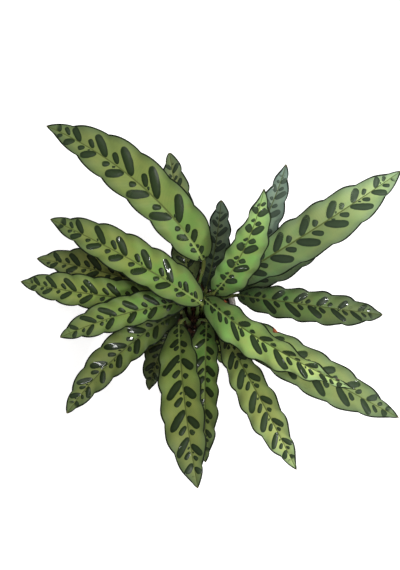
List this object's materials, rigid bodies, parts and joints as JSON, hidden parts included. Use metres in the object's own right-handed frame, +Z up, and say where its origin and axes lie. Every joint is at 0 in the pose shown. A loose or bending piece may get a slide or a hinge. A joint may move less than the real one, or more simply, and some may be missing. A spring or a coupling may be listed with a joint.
{
  "type": "potted rattlesnake plant",
  "caption": "Foliage plant with long wavy patterned blades arching from a clump of slim stalks in a plain tapered round pot.",
  "frame": {"origin": "centre of the pot's flat underside, on the surface that the pot stands on", "axes": "+Z up, +X towards the right of the picture and +Y away from the viewer, towards its top"},
  "size_m": [0.4016, 0.3595, 0.3391],
  "materials": {
    "pot_ceramic": "satin",
    "potting_soil": "matte",
    "leaf": "satin"
  },
  "bodies": {
    "root": {"pot": "pot_ceramic", "soil": "potting_soil", "leaf_01": "leaf", "leaf_02": "leaf", "leaf_03": "leaf", "leaf_04": "leaf", "leaf_05": "leaf", "leaf_06": "leaf", "leaf_07": "leaf", "leaf_08": "leaf", "leaf_09": "leaf", "leaf_10": "leaf", "leaf_11": "leaf", "leaf_12": "leaf", "leaf_13": "leaf", "leaf_14": "leaf", "leaf_15": "leaf", "leaf_16": "leaf", "leaf_17": "leaf", "leaf_18": "leaf", "leaf_19": "leaf", "leaf_20": "leaf"}
  },
  "joints": []
}
